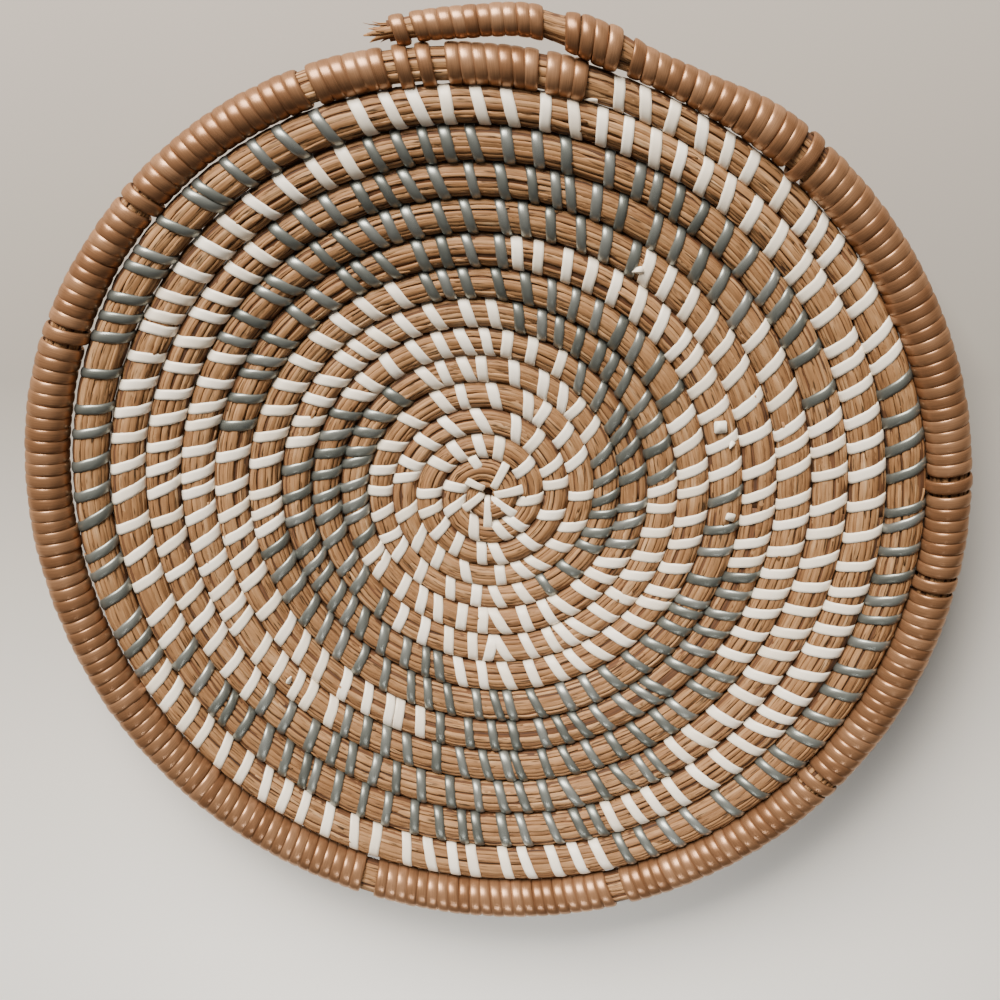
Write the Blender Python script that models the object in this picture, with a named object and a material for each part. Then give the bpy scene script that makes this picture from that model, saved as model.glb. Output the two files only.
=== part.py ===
"""A coiled grass basket, built the way it is made.

One long bundle of grass winds outwards from a small hole into a shallow dish. Its last turn is
bound with flat bronze-coloured strip in separate stretches, with single wraps between them, and
the bundle's end lies outside that turn, where its blades fray.

Lengths are in metres and +Z is up. The part stands on z = 0 with the middle of its box over the
origin.
"""

import math

import bmesh
import bpy
from mathutils import Vector

MM = 0.001

# The bundle's centre line: a spiral that widens by one pitch in each turn
POINTS_PER_TURN = 24
SEWN_TURNS = 13
TURNS_OF_PITCH = 14
FIRST_POINT = -14
RADIUS_AT_TURN_0 = 9.0 * MM
PITCH_AT_TURN_0 = 10.2 * MM
PITCH_AT_RIM = 14.9 * MM
CENTRE_HOLE_RADIUS = 2.2 * MM
LAY_GAP = 0.6 * MM

# The dish: a flat base, then a wall that steepens towards the rim
BASE_RADIUS = 45 * MM
DISH_RADIUS = 185 * MM
RIM_RISE = 30 * MM
WALL_POWER = 1.25
BASE_CUT_SHARE = 0.1

# How far the hand-laid turns leave the round at the dish's radius
OFFSET_WAVE = 1.4 * MM
OVAL_WAVE = 4.0 * MM
LOBE_WAVE = 0.6 * MM
# Each wave's count round a turn, its size and the degrees of its crest
OUT_OF_ROUND = ((1, OFFSET_WAVE, 22), (2, OVAL_WAVE, -50), (3, LOBE_WAVE, 29), (4, LOBE_WAVE, 37))

# The bound rim: the bundle is thin where the binding starts, thicker round the basket and thin
# again at its tail. Point numbers say where each change starts, and how many points it takes.
RIM_START_RADIUS = 5.6 * MM
RIM_CORE_RADIUS = 6.7 * MM
TAIL_CORE_RADIUS = 2.9 * MM
THINNING_POINT = SEWN_TURNS * POINTS_PER_TURN
THINNING_POINTS = 5
BINDING_POINT = 316
BINDING_POINTS = 1
THICKENING_POINT = 321
THICKENING_POINTS = 2
TAIL_POINTS = 5

# The rim's slit to the turn inside it, at its widest, the degrees of that place, and where it has
# closed
RIM_SLIT = 1.4 * MM
RIM_SLIT_DEGREES = 85
SLIT_END_POINT = 330

# The bronze strip wound on the rim
FIT_GAP = 0.3 * MM
WELD_DISTANCE = 0.003 * MM
STRIP_THICKNESS = 0.45 * MM
RIB_HEIGHT = 0.4 * MM
RIB_PITCH = 13.5 * MM
SINGLE_WRAP_WIDTH = 4.0 * MM
BORE_OVERRUN = 2 * MM
BEND_TRIM = 2 * MM
SNAP_SHARE = 0.6

# Stretches of close winding, in degrees along the bundle from the start of its fourteenth turn
BOUND_STRETCHES = (
    (77.6, 82.4), (83.5, 94.3), (101.7, 110.4), (111.7, 134.4), (137.1, 153.8), (156.6, 181.7),
    (184.8, 205.8), (208.8, 222.9), (225.7, 251.9), (254, 287.5), (289.7, 318.8), (321.5, 350.3),
    (353, 363.6), (366.4, 386.9), (389.6, 408.6), (411.8, 433.2), (434.7, 441), (443.6, 457.6),
)
# Single wraps between them
SINGLE_WRAPS = (
    96.9, 99.6, 135.6, 155.7, 183.2, 207.3, 223.8, 319.8, 351.3, 365, 388.5, 409.6, 459.2,
)
# The bundle is cut this many degrees past its last wrap, and its last point lies at or past the cut
TAIL_CUT_DEGREES = 1.3
TAIL_CUT_POINT = THINNING_POINT + (SINGLE_WRAPS[-1] + TAIL_CUT_DEGREES) * POINTS_PER_TURN / 360
LAST_POINT = math.ceil(TAIL_CUT_POINT)

# Blades of grass that leave the frayed end
BLADE_LENGTH = 9 * MM
BLADE_RADIUS = 0.7 * MM
BLADE_TIP_RADIUS = 0.4 * MM
BLADE_CLEARANCE = 0.2 * MM
BLADE_BEND_SHARE = 0.33
# Each blade's share of that length, its place across the bundle and up it in shares of the
# blades' spacing, and how it spreads
BLADE_SHARES = (
    (0.75, (-0.95, 0.15), (-0.3, 0.1)),
    (1.0, (-0.2, 0.95), (-0.1, 0.25)),
    (0.65, (0.0, -0.85), (0.05, -0.2)),
    (0.9, (0.9, 0.6), (0.2, 0.1)),
    (0.6, (1.1, -0.6), (0.4, -0.1)),
)

GRASS_COLOUR = (0.45, 0.26, 0.12)
GRASS_ROUGHNESS = 0.75
BRONZE_COLOUR = (0.42, 0.22, 0.12)
BRONZE_ROUGHNESS = 0.35
BRONZE_METALLIC = 0.3


def clear_scene():
    for obj in list(bpy.data.objects):
        bpy.data.objects.remove(obj)


def new_material(name, colour, roughness, metallic):
    material = bpy.data.materials.new(name)
    material.use_nodes = True
    material.diffuse_color = (*colour, 1)
    surface = material.node_tree.nodes["Principled BSDF"]
    surface.inputs["Base Color"].default_value = (*colour, 1)
    surface.inputs["Roughness"].default_value = roughness
    surface.inputs["Metallic"].default_value = metallic
    return material


def laid_radius(turn):
    """The spiral's radius after this many turns, before the hand-laid waves."""
    growth = (PITCH_AT_RIM - PITCH_AT_TURN_0) / (2 * TURNS_OF_PITCH)
    return RADIUS_AT_TURN_0 + PITCH_AT_TURN_0 * turn + growth * turn**2


def waved_radius(turn):
    """The same radius, out of round by an amount that grows with its square."""
    radius = laid_radius(turn)
    waves = sum(
        size * math.cos(count * (math.tau * turn - math.radians(direction)))
        for count, size, direction in OUT_OF_ROUND
    )
    return radius + waves * (radius / DISH_RADIUS) ** 2


def wall_rise(radius):
    """How far the dish has risen above its base at this radius."""
    share = max(radius - BASE_RADIUS, 0) / (DISH_RADIUS - BASE_RADIUS)
    return RIM_RISE * share**WALL_POWER


def smooth_share(value):
    value = min(max(value, 0), 1)
    return value * value * (3 - 2 * value)


def bore_radius(core_radius):
    """A six-sided bore that clears the six-sided bundle by the fit gap, measured across flats."""
    return core_radius + FIT_GAP / math.cos(math.pi / 6)


def strip_radius(core_radius):
    """The corner radius of the eight-sided winding in the valleys between its wraps."""
    return (bore_radius(core_radius) + STRIP_THICKNESS) / math.cos(math.pi / 8)


class Bundle:
    """The centre line of the grass bundle, as points with a radius each."""

    def __init__(self):
        self.spiral_radius = {}
        self.tube_radius = {}
        self.point = {}
        for index in range(FIRST_POINT, LAST_POINT + 1):
            self.add_point(index)

    def rim_core_radius(self, index):
        thicker = smooth_share((index - THICKENING_POINT) / THICKENING_POINTS)
        tail = smooth_share((index - LAST_POINT + TAIL_POINTS) / TAIL_POINTS)
        radius = RIM_START_RADIUS + (RIM_CORE_RADIUS - RIM_START_RADIUS) * thicker
        return radius + (TAIL_CORE_RADIUS - radius) * tail

    def pressed_radius(self, index):
        """Half the least distance to the next turn on either side, less the gap between turns."""
        chord_share = math.cos(math.pi / POINTS_PER_TURN)
        here = waved_radius(index / POINTS_PER_TURN)
        outwards = waved_radius(index / POINTS_PER_TURN + 1) - here
        inwards = outwards
        if index - POINTS_PER_TURN >= FIRST_POINT:
            inwards = here - waved_radius(index / POINTS_PER_TURN - 1)
        pressed = (min(inwards, outwards) * chord_share - LAY_GAP) / 2
        return min(pressed, here - CENTRE_HOLE_RADIUS)

    def bound_radius(self, index):
        """The bundle's outside radius, with the strip's crests where it is bound."""
        bare = self.tube_radius[index]
        crest = strip_radius(bare) + RIB_HEIGHT
        return bare + (crest - bare) * smooth_share((index - BINDING_POINT) / BINDING_POINTS)

    def lying_radius(self, index):
        """Where the centre line lies when the bundle rests against the turn inside it."""
        slit = 0
        if BINDING_POINT < index < SLIT_END_POINT:
            angle = math.tau * index / POINTS_PER_TURN - math.radians(RIM_SLIT_DEGREES)
            slit = (RIM_SLIT - LAY_GAP) * (1 + math.cos(angle)) / 2
        inside = index - POINTS_PER_TURN
        surfaces = self.bound_radius(inside) + self.bound_radius(index)
        return self.spiral_radius[inside] + surfaces + LAY_GAP + slit

    def add_point(self, index):
        turn = index / POINTS_PER_TURN
        thinning = smooth_share((index - THINNING_POINT) / THINNING_POINTS)
        radius = waved_radius(turn)
        tube = self.pressed_radius(index)
        if thinning > 0:
            tube += (self.rim_core_radius(index) - tube) * thinning
            self.tube_radius[index] = tube
            radius += (self.lying_radius(index) - radius) * thinning
        level_radius = laid_radius(turn) + radius - waved_radius(turn)
        # The base's turns lose a tenth of their diameter from the lowest facet, so they lie flush
        height = tube * (math.cos(math.pi / 6) - 2 * BASE_CUT_SHARE) + wall_rise(level_radius)
        self.spiral_radius[index] = radius
        self.tube_radius[index] = tube
        angle = math.tau * turn
        self.point[index] = Vector((radius * math.cos(angle), radius * math.sin(angle), height))

    def between(self, values, place):
        """The value at a place counted in points, on the straight run between two of them."""
        before = min(math.floor(place), LAST_POINT - 1)
        return values[before] + (values[before + 1] - values[before]) * (place - before)

    def least_gap(self):
        """The least gap between a turn and the next, measured halfway along the straight runs."""
        chord_share = math.cos(math.pi / POINTS_PER_TURN)
        return min(
            (self.spiral_radius[index + POINTS_PER_TURN] - self.spiral_radius[index]) * chord_share
            - self.tube_radius[index]
            - self.tube_radius[index + POINTS_PER_TURN]
            for index in range(FIRST_POINT, LAST_POINT - POINTS_PER_TURN + 1)
        )


def add_tube(name, points, radii, bevel_resolution):
    """A curve object along the points, with its own radius at each."""
    curve = bpy.data.curves.new(name, "CURVE")
    curve.dimensions = "3D"
    curve.twist_mode = "Z_UP"
    curve.bevel_depth = 1
    curve.bevel_resolution = bevel_resolution
    curve.use_fill_caps = True
    spline = curve.splines.new("POLY")
    spline.points.add(len(points) - 1)
    for spline_point, point, radius in zip(spline.points, points, radii):
        spline_point.co = (*point, 1)
        spline_point.radius = radius
    obj = bpy.data.objects.new(name, curve)
    bpy.context.scene.collection.objects.link(obj)
    return obj


def tube_mesh(name, points, radii, bevel_resolution):
    """The same tube as a mesh object, with its end caps welded to its sides."""
    curve_object = add_tube(name, points, radii, bevel_resolution)
    bpy.context.view_layer.update()
    graph = bpy.context.evaluated_depsgraph_get()
    mesh = bpy.data.meshes.new_from_object(curve_object.evaluated_get(graph))
    matrix = curve_object.matrix_world.copy()
    bpy.data.objects.remove(curve_object)
    shape = bmesh.new()
    shape.from_mesh(mesh)
    bmesh.ops.remove_doubles(shape, verts=shape.verts, dist=WELD_DISTANCE)
    shape.to_mesh(mesh)
    shape.free()
    obj = bpy.data.objects.new(name, mesh)
    obj.matrix_world = matrix
    return obj


def cut(obj, cutter, cutters):
    """Takes the cutter's shape out of the object and keeps the cutter out of sight."""
    cutters.objects.link(cutter)
    cutter.hide_render = True
    cutter.display_type = "WIRE"
    boolean = obj.modifiers.new(cutter.name, "BOOLEAN")
    boolean.operation = "DIFFERENCE"
    boolean.object = cutter


def ground_block(name, bundle):
    """A slab under z = 0, wide enough to flatten every turn that reaches it."""
    width = 2 * (max(bundle.spiral_radius.values()) + RIM_CORE_RADIUS)
    depth = 2 * RIM_CORE_RADIUS
    mesh = bpy.data.meshes.new(name)
    shape = bmesh.new()
    bmesh.ops.create_cube(shape, size=1)
    bmesh.ops.scale(shape, vec=(width, width, depth), verts=shape.verts)
    bmesh.ops.translate(shape, vec=(0, 0, -depth / 2), verts=shape.verts)
    shape.to_mesh(mesh)
    shape.free()
    return bpy.data.objects.new(name, mesh)


def grass_coil(bundle, pieces, cutters, material):
    """The one unbroken bundle, from the hole in the middle to the frayed end."""
    places = (*range(FIRST_POINT, LAST_POINT), TAIL_CUT_POINT)
    points = [bundle.between(bundle.point, place) for place in places]
    radii = [bundle.between(bundle.tube_radius, place) for place in places]
    coil = tube_mesh("grass_coil", points, radii, 1)
    coil.data.materials.clear()
    coil.data.materials.append(material)
    pieces.objects.link(coil)
    cut(coil, ground_block("cut_ground", bundle), cutters)
    return coil


def trimmed(start, end, run):
    """The stretch's ends, drawn in to a bend that lies just inside them."""
    near = BEND_TRIM / run
    if math.ceil(start) - start < near:
        start = math.ceil(start)
    if end - math.floor(end) < near:
        end = math.floor(end)
    return start, end


def winding_places(start, end, spacing):
    """Places of valleys (0) and crests (1) along a stretch, with the bundle's bends among them."""
    count = max(1, round((end - start) / spacing))
    step = (end - start) / (2 * count)
    places = [[start + step * number, number % 2] for number in range(2 * count + 1)]
    for bend in range(math.floor(start) + 1, math.ceil(end)):
        nearest = min(places[1:-1], key=lambda place: abs(place[0] - bend))
        if abs(nearest[0] - bend) < step * SNAP_SHARE:
            nearest[0] = bend
        else:
            places.append([bend, 1 - abs((bend - start) / step % 2 - 1)])
    return sorted(places)


def bore_cutter(name, bundle, start, end):
    """The bundle's shape along a stretch, wider by the fit gap and straight past both ends."""
    stops = [start, *range(math.floor(start) + 1, math.ceil(end)), end]
    points = [bundle.between(bundle.point, stop) for stop in stops]
    radii = [bore_radius(bundle.between(bundle.tube_radius, stop)) for stop in stops]
    points[0] -= (points[1] - points[0]).normalized() * BORE_OVERRUN
    points[-1] += (points[-1] - points[-2]).normalized() * BORE_OVERRUN
    return tube_mesh(name, points, radii, 1)


def binding(name, bundle, start_degrees, end_degrees, pieces, cutters, material):
    """Strip wound closely round the rim's bundle, as a ribbed sleeve with a six-sided bore."""
    points_per_degree = POINTS_PER_TURN / 360
    start = SEWN_TURNS * POINTS_PER_TURN + start_degrees * points_per_degree
    end = SEWN_TURNS * POINTS_PER_TURN + end_degrees * points_per_degree
    run = bundle.between(bundle.spiral_radius, (start + end) / 2) * math.tau / POINTS_PER_TURN
    start, end = trimmed(start, end, run)
    places = winding_places(start, end, RIB_PITCH / run)
    points = [bundle.between(bundle.point, place) for place, _ in places]
    cores = [bundle.between(bundle.tube_radius, place) for place, _ in places]
    crests = [strip_radius(core) + RIB_HEIGHT * crest for core, (_, crest) in zip(cores, places)]
    sleeve = tube_mesh(name, points, crests, 2)
    sleeve.data.materials.clear()
    sleeve.data.materials.append(material)
    pieces.objects.link(sleeve)
    cut(sleeve, bore_cutter("bore_" + name, bundle, start, end), cutters)
    return sleeve


def frayed_blades(bundle, pieces, material):
    """The blades that stick out of the bundle's end, each starting at its end face."""
    end = bundle.between(bundle.point, TAIL_CUT_POINT)
    along = (end - bundle.point[LAST_POINT - 1]).normalized()
    across = along.cross(Vector((0, 0, 1))).normalized()
    up = across.cross(along)
    spacing = 2 * BLADE_RADIUS + BLADE_CLEARANCE
    blades = []
    for number, (length_share, place_shares, spread_shares) in enumerate(BLADE_SHARES, 1):
        place = (across * place_shares[0] + up * place_shares[1]) * spacing
        root = end + place + along * FIT_GAP
        spread = (along + across * spread_shares[0] + up * spread_shares[1]).normalized()
        length = BLADE_LENGTH * length_share
        bend = root + along * (length * BLADE_BEND_SHARE)
        points = (root, bend, bend + spread * (length * (1 - BLADE_BEND_SHARE)))
        radii = (BLADE_RADIUS, BLADE_RADIUS, BLADE_TIP_RADIUS)
        blade = tube_mesh(f"tail_blade_{number}", points, radii, 1)
        blade.data.materials.clear()
        blade.data.materials.append(material)
        pieces.objects.link(blade)
        blades.append(blade)
    return blades


def centre_over_origin(parts, root):
    """Moves the root, which carries every piece, so that the part's box is centred over z."""
    bpy.context.view_layer.update()
    graph = bpy.context.evaluated_depsgraph_get()
    corners = [
        piece.matrix_world @ Vector(corner)
        for piece in parts
        for corner in piece.evaluated_get(graph).bound_box
    ]
    for axis in (0, 1):
        values = [corner[axis] for corner in corners]
        root.location[axis] = -(min(values) + max(values)) / 2


def main():
    clear_scene()
    pieces = bpy.data.collections.new("coiled_basket")
    cutters = bpy.data.collections.new("cutters")
    bpy.context.scene.collection.children.link(pieces)
    bpy.context.scene.collection.children.link(cutters)
    grass = new_material("dried grass", GRASS_COLOUR, GRASS_ROUGHNESS, 0)
    bronze = new_material("bronze strip", BRONZE_COLOUR, BRONZE_ROUGHNESS, BRONZE_METALLIC)

    bundle = Bundle()
    root = bpy.data.objects.new("basket", None)
    pieces.objects.link(root)
    parts = [grass_coil(bundle, pieces, cutters, grass)]
    for number, (start, end) in enumerate(BOUND_STRETCHES, 1):
        name = f"rim_binding_{number:02d}"
        parts.append(binding(name, bundle, start, end, pieces, cutters, bronze))
    wrap_degrees = math.degrees(SINGLE_WRAP_WIDTH / bundle.spiral_radius[THICKENING_POINT])
    for number, middle in enumerate(SINGLE_WRAPS, 1):
        name = f"rim_wrap_{number:02d}"
        ends = (middle - wrap_degrees / 2, middle + wrap_degrees / 2)
        parts.append(binding(name, bundle, *ends, pieces, cutters, bronze))
    parts += frayed_blades(bundle, pieces, grass)

    for piece in (*parts, *cutters.objects):
        piece.parent = root
    centre_over_origin(parts, root)
    bpy.context.view_layer.update()
    print(f"The coil's least gap to itself is {bundle.least_gap() / MM:.2f} mm")


main()
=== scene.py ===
import math
import random

import bpy
import numpy as np
from mathutils import Matrix, Vector


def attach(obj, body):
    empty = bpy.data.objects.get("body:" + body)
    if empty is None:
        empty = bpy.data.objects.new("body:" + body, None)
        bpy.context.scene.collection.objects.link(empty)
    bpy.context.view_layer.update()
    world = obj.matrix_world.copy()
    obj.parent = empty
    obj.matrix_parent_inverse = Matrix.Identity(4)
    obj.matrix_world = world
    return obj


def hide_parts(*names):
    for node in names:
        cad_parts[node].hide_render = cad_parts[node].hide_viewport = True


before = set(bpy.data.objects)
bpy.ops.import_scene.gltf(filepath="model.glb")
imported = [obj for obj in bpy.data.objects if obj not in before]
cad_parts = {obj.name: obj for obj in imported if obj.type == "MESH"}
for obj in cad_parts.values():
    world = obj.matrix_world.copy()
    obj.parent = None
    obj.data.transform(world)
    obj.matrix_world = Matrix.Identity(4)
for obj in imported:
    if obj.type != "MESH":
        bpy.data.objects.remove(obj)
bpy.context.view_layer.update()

# GRASS BUNDLE
# One long bundle of dried sweetgrass, laid down in a spiral from a small hole outwards. The flat
# blades lie along it, a few millimetres wide each, cut and joined as the bundle grows, and the
# stitches press it in. It is built turn by turn: an inner core coloured dark as painted shade, then
# the blades round it.
MM = 0.001
SPIRAL_CENTRE = (-4.399 * MM, -0.833 * MM)
POINTS_PER_TURN = 24
CUT_TURN = 342.7 / POINTS_PER_TURN
SEWN_TURNS = 13
TURNS_OF_PITCH = 14
RADIUS_AT_TURN_0 = 9.0 * MM
PITCH_AT_TURN_0 = 10.2 * MM
PITCH_AT_RIM = 14.9 * MM
LAY_GAP = 0.15 * MM
BASE_RADIUS = 45 * MM
DISH_RADIUS = 185 * MM
RIM_RISE = 30 * MM
WALL_POWER = 1.25
OUT_OF_ROUND = ((1, 1.4 * MM, 22), (2, 4.0 * MM, -50), (3, 0.6 * MM, 29), (4, 0.6 * MM, 37))
# Waves of some turns only: count round a turn, size, crest's degrees, and the turns in which each
# starts, is full, starts to fade and has faded
LAID_BY_HAND = (
    (0, -1.2 * MM, 0, 2.5, 4, 7, 9), (1, 1.7 * MM, 85, 2, 4, 10.5, 13),
    (2, 0.7 * MM, -48, 3.5, 5, 7, 8.5), (3, 0.5 * MM, 50, 7, 8.5, 11.5, 12.5),
)
# The bundle's half width inside the binding, and for each change of it the point along the bundle at
# which it starts and the points over which it is done
RIM_START_RADIUS = 5.6 * MM
RIM_CORE_RADIUS = 6.7 * MM
LAPPED_CORE_RADIUS = 4.3 * MM
TAIL_CORE_RADIUS = 3.1 * MM
THINNING_POINTS = 5
THICKENED = (321, 2)
LAPPED = (339.4, 1.3)
TAIL = (341.2, 2.2)
# Two bundles lie under one binding for a short way
JOINT_SWELL = 1.4 * MM
JOINT_POINTS = (340.75, 341.5)
JOINT_EASE = 0.3
# The last turn sinks in over the start of the binding and springs out past it: degrees and how far in
LAST_TURN_LAY = (
    (50, 0.0), (60, -0.5 * MM), (66, 1.1 * MM), (71, 2.7 * MM), (76.5, 3.7 * MM), (80.5, 0.7 * MM),
    (85, -1.9 * MM), (92, 0.2 * MM), (97, 0.7 * MM), (105, 1.2 * MM),
)
LAY_SMOOTHING_STEPS = 9
# The strip of the binding builds the bundle up by so much and by this share
BINDING_BUILD_UP = 1.5 * MM
BINDING_SHARE = 0.0824
BINDING_POINT = 316
PUSHED_FROM_POINT = 316.5
PUSHED_OVER_POINTS = 4
LEANING_POINTS = 2
RIM_SLIT = 0.6 * MM
SLIT_END_POINT = 333
SLIT_EASE_POINTS = 3
RIM_PRESS = 0.2 * MM
OUTER_SLIT = -0.2 * MM
# The first turn has no turn inside it until this share of it is laid
INNER_SIDE_FROM = 0.6
START_JOIN_TURNS = 0.15
START_HOLE_RADIUS = 2.2 * MM
START_HOLE_SHIFT = 1.2 * MM
START_HOLE_DEGREES = 56
START_HALF_HEIGHT = 4.3 * MM
START_STUB_RADIUS = 3.2 * MM
START_STUB_TOP = 2.0 * MM
START_STUB_SIDES = 16

BUNDLE_HEIGHT_SHARE = math.cos(math.pi / 6) - 0.2
BUNDLE_WIDTH_SHARE = 1.03
BUNDLE_FLATNESS = 0.93
BUNDLE_SQUARENESS = 2.35
GROUND_CLEARANCE = 0.55 * MM
PINCH_DEPTH = 0.6 * MM
PINCH_REACH = 2.7 * MM
CORE_CLEARANCE = 1.3 * MM
CORE_SINK = 0.7 * MM
CORE_SWELL = 0.15 * MM
CORE_STEP = 4 * MM
CORE_SIDES = 24
CORE_PATTERN_PER_TURN = 500
CORE_PATTERN_ROUND = 7
BLADE_STEP = 3.0 * MM
BLADE_SPACING = 2.0 * MM
BLADES_ROUND_SHARE = 0.97
FEWEST_BLADES = 9
BLADE_LENGTHS = (45 * MM, 150 * MM)
SHORTEST_BLADE = 12 * MM
BLADE_OVERLAP = 7 * MM
BLADE_STAGGER = (-20 * MM, 45 * MM)
BLADE_HALF_WIDTH_SHARES = (0.85, 1.55)
BLADE_RISE = (-0.22 * MM, 0.16 * MM)
BLADE_TURNS_FROM = 0.2
BLADE_UNEVENNESS = 0.25
BLADE_CREEP = 0.05
BLADE_DRIFT = 0.10
BLADE_WEAVE = 0.05
BLADE_WEAVES = 9
BLADE_TIP = 9 * MM
TIP_NARROWING = 0.6
SUNK_TIP = 0.6 * MM
LIFTED_TIP = -0.4 * MM
SUNK_TIPS_SHARE = 0.85
BLADE_SECTION = ((-1.0, -0.3), (-0.65, 0.0), (0.05, 0.07), (0.7, -0.02), (1.0, -0.32), (0.0, -0.8))
# How far each blade's pattern is moved on from the last one's, in millimetres along and across
PATTERN_SHIFT = (37, 11)
PATTERN_SPREAD = 1.2


def smooth_share(value):
    """A share from 0 to 1 that starts and ends gently."""
    value = np.clip(value, 0, 1)
    return value * value * (3 - 2 * value)


def laid_radius(turn):
    """The spiral as it would be laid true, each turn a little thicker than the last."""
    growth = (PITCH_AT_RIM - PITCH_AT_TURN_0) / (2 * TURNS_OF_PITCH)
    return RADIUS_AT_TURN_0 + PITCH_AT_TURN_0 * turn + growth * turn**2


def waved_radius(turn):
    """The spiral out of round, as it was laid by hand."""
    radius = laid_radius(turn)
    waves = sum(
        size * np.cos(count * (math.tau * turn - math.radians(crest)))
        for count, size, crest in OUT_OF_ROUND
    )
    local = sum(
        size * np.cos(count * (math.tau * turn - math.radians(crest)))
        * smooth_share((turn - start) / (full - start)) * smooth_share((end - turn) / (end - fading))
        for count, size, crest, start, full, fading, end in LAID_BY_HAND
    )
    return radius + waves * (radius / DISH_RADIUS) ** 2 + local


def eased(point, start, length):
    """How far a change that starts here and takes this long is done, from 0 to 1."""
    return smooth_share((point - start) / length)


def rim_core_radius(turn):
    """The half width of the grass inside the binding."""
    point = turn * POINTS_PER_TURN
    radius = RIM_START_RADIUS + (RIM_CORE_RADIUS - RIM_START_RADIUS) * eased(point, *THICKENED)
    radius = radius + (LAPPED_CORE_RADIUS - radius) * eased(point, *LAPPED)
    radius = radius + (TAIL_CORE_RADIUS - radius) * eased(point, *TAIL)
    into, out_of = (point - JOINT_POINTS[0]) / JOINT_EASE, (JOINT_POINTS[1] - point) / JOINT_EASE
    return radius + JOINT_SWELL * smooth_share(into) * smooth_share(out_of)


# The spiral is worked out once along the whole bundle, then read between these turns
STEPS_PER_TURN = 720
TABLE_END_TURN = 14.6
table_turns = np.arange(-STEPS_PER_TURN, round(TABLE_END_TURN * STEPS_PER_TURN)) / STEPS_PER_TURN
waved = waved_radius(table_turns)
outwards = waved_radius(table_turns + 1) - waved
inwards = waved - waved_radius(table_turns - 1)
inwards = outwards + (inwards - outwards) * eased(table_turns, INNER_SIDE_FROM, 1 - INNER_SIDE_FROM)
# Each turn is pressed into half the room between its neighbours
pressed = (inwards + outwards) / 4 - LAY_GAP / 2
centres = waved + (outwards - inwards) / 4
after_start = np.interp(table_turns + 1, table_turns, centres - pressed)
before_start = table_turns < 0

# The first coil fills the room between the middle hole and the turn round it
hole = START_HOLE_RADIUS + START_HOLE_SHIFT * np.cos(
    math.tau * table_turns - math.radians(START_HOLE_DEGREES)
)
joined = float(np.interp(0, table_turns, centres - pressed))
inner_side = hole + (joined - hole) * eased(table_turns, -START_JOIN_TURNS, START_JOIN_TURNS)
outer_side = after_start - LAY_GAP
centres = np.where(before_start, (outer_side + inner_side) / 2, centres)
pressed = np.where(before_start, (outer_side - inner_side) / 2, pressed)

# The rim's last turn is thinner, bound, and lies against the turn inside it
table_points = table_turns * POINTS_PER_TURN
rim_points = (table_turns - SEWN_TURNS) * POINTS_PER_TURN
radii = pressed + (rim_core_radius(table_turns) - pressed) * eased(rim_points, 0, THINNING_POINTS)
bound = smooth_share(table_points - BINDING_POINT)
bound_radii = radii * (1 + BINDING_SHARE * bound) + BINDING_BUILD_UP * bound
slit = RIM_SLIT * bound * smooth_share((SLIT_END_POINT - table_points) / SLIT_EASE_POINTS)
slit = np.where(table_turns < SEWN_TURNS + 1, slit, OUTER_SLIT)
spread = centres.copy()
for whole_turn in (SEWN_TURNS, SEWN_TURNS + 1):
    rows = np.flatnonzero((table_turns >= whole_turn) & (table_turns < whole_turn + 1))
    lying = (spread + bound_radii)[rows - STEPS_PER_TURN] + bound_radii[rows] - RIM_PRESS + slit[rows]
    spread[rows] += (lying - spread[rows]) * eased(rim_points[rows], 0, LEANING_POINTS)
# Where the binding starts, the bundle is not yet pushed outwards by it
unpushed = (bound_radii - radii) * (table_turns >= SEWN_TURNS)
unpushed *= 1 - eased(table_points, PUSHED_FROM_POINT, PUSHED_OVER_POINTS)
centres = spread - unpushed
last_degrees = (table_turns - SEWN_TURNS - 1) * 360
laid_in = np.interp(last_degrees, *zip(*LAST_TURN_LAY))
smoothing = np.ones(LAY_SMOOTHING_STEPS) / LAY_SMOOTHING_STEPS
centres = centres - np.convolve(laid_in, smoothing, "same")


def bundle_radius(turn):
    """The grass bundle's own half width after this many turns."""
    return np.interp(turn, table_turns, radii)


def bound_radius(turn):
    """The half width outside the strip, where the bundle is bound."""
    return np.interp(turn, table_turns, bound_radii)


def centre_radius(turn):
    """How far the bundle's centre line lies from the spiral's centre."""
    return np.interp(turn, table_turns, centres)


def half_height(turn):
    """Half the bundle's height: its start is no lower than the turn round it."""
    radius = bundle_radius(turn)
    return np.where(turn < 0, np.maximum(radius, START_HALF_HEIGHT), radius)


def bundle_place(turn):
    """The centre line's points and, at each, the directions out, up across the bundle and along."""
    turn = np.asarray(turn, float)
    radius = centre_radius(turn)
    level = laid_radius(turn) + radius - waved_radius(turn)
    share = np.maximum(level - BASE_RADIUS, 0) / (DISH_RADIUS - BASE_RADIUS)
    height = half_height(turn) * BUNDLE_HEIGHT_SHARE + RIM_RISE * share**WALL_POWER
    slope = np.arctan(RIM_RISE * WALL_POWER * share ** (WALL_POWER - 1) / (DISH_RADIUS - BASE_RADIUS))
    slope = np.where(share > 0, slope, 0)
    angle = math.tau * turn
    outwards = np.stack([np.cos(angle), np.sin(angle), np.zeros_like(angle)], -1)
    upwards = np.array([0, 0, 1.0])
    along = np.stack([-np.sin(angle), np.cos(angle), np.zeros_like(angle)], -1)
    centre = outwards * radius[..., None] + (*SPIRAL_CENTRE, 0)
    centre[..., 2] = height
    lean_cos, lean_sin = np.cos(slope)[..., None], np.sin(slope)[..., None]
    across = outwards * lean_cos + upwards * lean_sin
    return centre, across, upwards * lean_cos - outwards * lean_sin, along


def turns_ahead(turn, length):
    """The change of turn that moves this length along the bundle."""
    return length / (math.tau * centre_radius(turn))


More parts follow.
